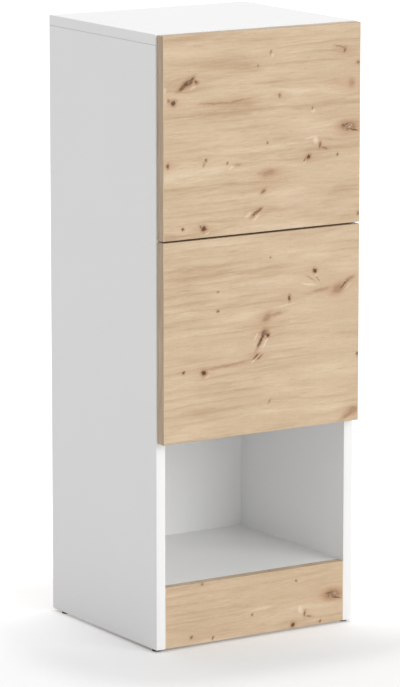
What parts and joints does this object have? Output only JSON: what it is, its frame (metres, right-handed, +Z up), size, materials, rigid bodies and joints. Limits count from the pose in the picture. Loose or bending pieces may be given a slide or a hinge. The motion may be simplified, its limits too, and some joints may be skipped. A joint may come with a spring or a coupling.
{
  "type": "mid-height cabinet",
  "caption": "Narrow free-standing mid-height bathroom cabinet: white board carcass, hinged oak-decor doors on concealed hinges with push latches, an open niche below and a plinth.",
  "frame": {"origin": "centre of the bounding box of the closed cabinet, at the bottom of its glides", "axes": "+Z up; the doors face -Y, so +Y points to the wall behind; +X to the right as seen from the front"},
  "size_m": [0.36, 0.33, 0.95],
  "materials": {
    "oak_decor_board": "matt oak-decor melamine with a faint horizontal grain and knots",
    "white_back_board": "white lacquered hardboard, matt",
    "white_board": "white melamine-faced chipboard, fine matt pearl texture",
    "black_plastic": "moulded black plastic, matt",
    "beech": "turned beech",
    "light_grey_plastic": "moulded plastic, satin",
    "grey_plastic": "moulded plastic, fine matt texture",
    "cast_zinc": "die-cast zinc, dull",
    "zinc_plated_steel": "zinc-plated steel",
    "nickel_plated_steel": "nickel-plated pressed steel, satin"
  },
  "bodies": {
    "carcass": {"back_panel": "white_back_board", "back_panel_nails": "zinc_plated_steel", "cam_bolts": "zinc_plated_steel", "cam_locks": "cast_zinc", "floor_glides": "black_plastic", "left_side_panel": "white_board", "lower_door_hinge_adjusting_screws": "zinc_plated_steel", "lower_door_hinge_arm_pins": "nickel_plated_steel", "lower_door_hinge_plate_screws": "zinc_plated_steel", "lower_door_lower_hinge_arm": "nickel_plated_steel", "lower_door_lower_hinge_mounting_plate": "nickel_plated_steel", "lower_door_push_latch_housing": "grey_plastic", "lower_door_push_latch_screws": "zinc_plated_steel", "lower_door_upper_hinge_arm": "nickel_plated_steel", "lower_door_upper_hinge_mounting_plate": "nickel_plated_steel", "middle_shelf_panel": "white_board", "niche_ceiling_panel": "white_board", "niche_floor_panel": "white_board", "plinth_panel": "oak_decor_board", "right_side_panel": "white_board", "top_panel": "white_board", "upper_door_hinge_adjusting_screws": "zinc_plated_steel", "upper_door_hinge_arm_pins": "nickel_plated_steel", "upper_door_hinge_plate_screws": "zinc_plated_steel", "upper_door_lower_hinge_arm": "nickel_plated_steel", "upper_door_lower_hinge_mounting_plate": "nickel_plated_steel", "upper_door_push_latch_housing": "grey_plastic", "upper_door_push_latch_screws": "zinc_plated_steel", "upper_door_upper_hinge_arm": "nickel_plated_steel", "upper_door_upper_hinge_mounting_plate": "nickel_plated_steel", "wooden_dowels": "beech"},
    "upper_hinge_links": {"upper_door_lower_hinge_link": "nickel_plated_steel", "upper_door_upper_hinge_link": "nickel_plated_steel"},
    "upper_door": {"upper_door_panel": "oak_decor_board", "upper_door_lower_hinge_cup": "nickel_plated_steel", "upper_door_upper_hinge_cup": "nickel_plated_steel", "upper_door_hinge_cup_pins": "nickel_plated_steel", "upper_door_hinge_cup_screws": "zinc_plated_steel", "upper_door_strike_disc": "nickel_plated_steel"},
    "upper_latch_plunger": {"upper_door_push_latch_plunger": "light_grey_plastic"},
    "lower_hinge_links": {"lower_door_lower_hinge_link": "nickel_plated_steel", "lower_door_upper_hinge_link": "nickel_plated_steel"},
    "lower_door": {"lower_door_panel": "oak_decor_board", "lower_door_lower_hinge_cup": "nickel_plated_steel", "lower_door_upper_hinge_cup": "nickel_plated_steel", "lower_door_hinge_cup_pins": "nickel_plated_steel", "lower_door_hinge_cup_screws": "zinc_plated_steel", "lower_door_strike_disc": "nickel_plated_steel"},
    "lower_latch_plunger": {"lower_door_push_latch_plunger": "light_grey_plastic"}
  },
  "joints": [
    {"name": "upper_link_swing", "type": "hinge", "parent": "carcass", "child": "upper_hinge_links", "pos_m": [0.156, -0.144, 0.7945], "axis": [0, 0, 1], "range_deg": [-8, 0]},
    {"name": "upper_door_swing", "type": "hinge", "parent": "upper_hinge_links", "child": "upper_door", "pos_m": [0.1715, -0.156, 0.7945], "axis": [0, 0, 1], "range_deg": [0, 103]},
    {"name": "upper_plunger_slide", "type": "slide", "parent": "carcass", "child": "upper_latch_plunger", "axis": [0, -1, 0], "range_m": [0, 0.01]},
    {"name": "lower_link_swing", "type": "hinge", "parent": "carcass", "child": "lower_hinge_links", "pos_m": [0.156, -0.144, 0.4825], "axis": [0, 0, 1], "range_deg": [-8, 0]},
    {"name": "lower_door_swing", "type": "hinge", "parent": "lower_hinge_links", "child": "lower_door", "pos_m": [0.1715, -0.156, 0.4825], "axis": [0, 0, 1], "range_deg": [0, 103]},
    {"name": "lower_plunger_slide", "type": "slide", "parent": "carcass", "child": "lower_latch_plunger", "axis": [0, -1, 0], "range_m": [0, 0.01]}
  ],
  "couplings": [
    {"joint": "upper_link_swing", "follows": "upper_door_swing", "ratio": -0.0776},
    {"joint": "upper_plunger_slide", "follows": "upper_door_swing", "m_per_rad": 0.00556},
    {"joint": "lower_link_swing", "follows": "lower_door_swing", "ratio": -0.0776},
    {"joint": "lower_plunger_slide", "follows": "lower_door_swing", "m_per_rad": 0.00556}
  ]
}
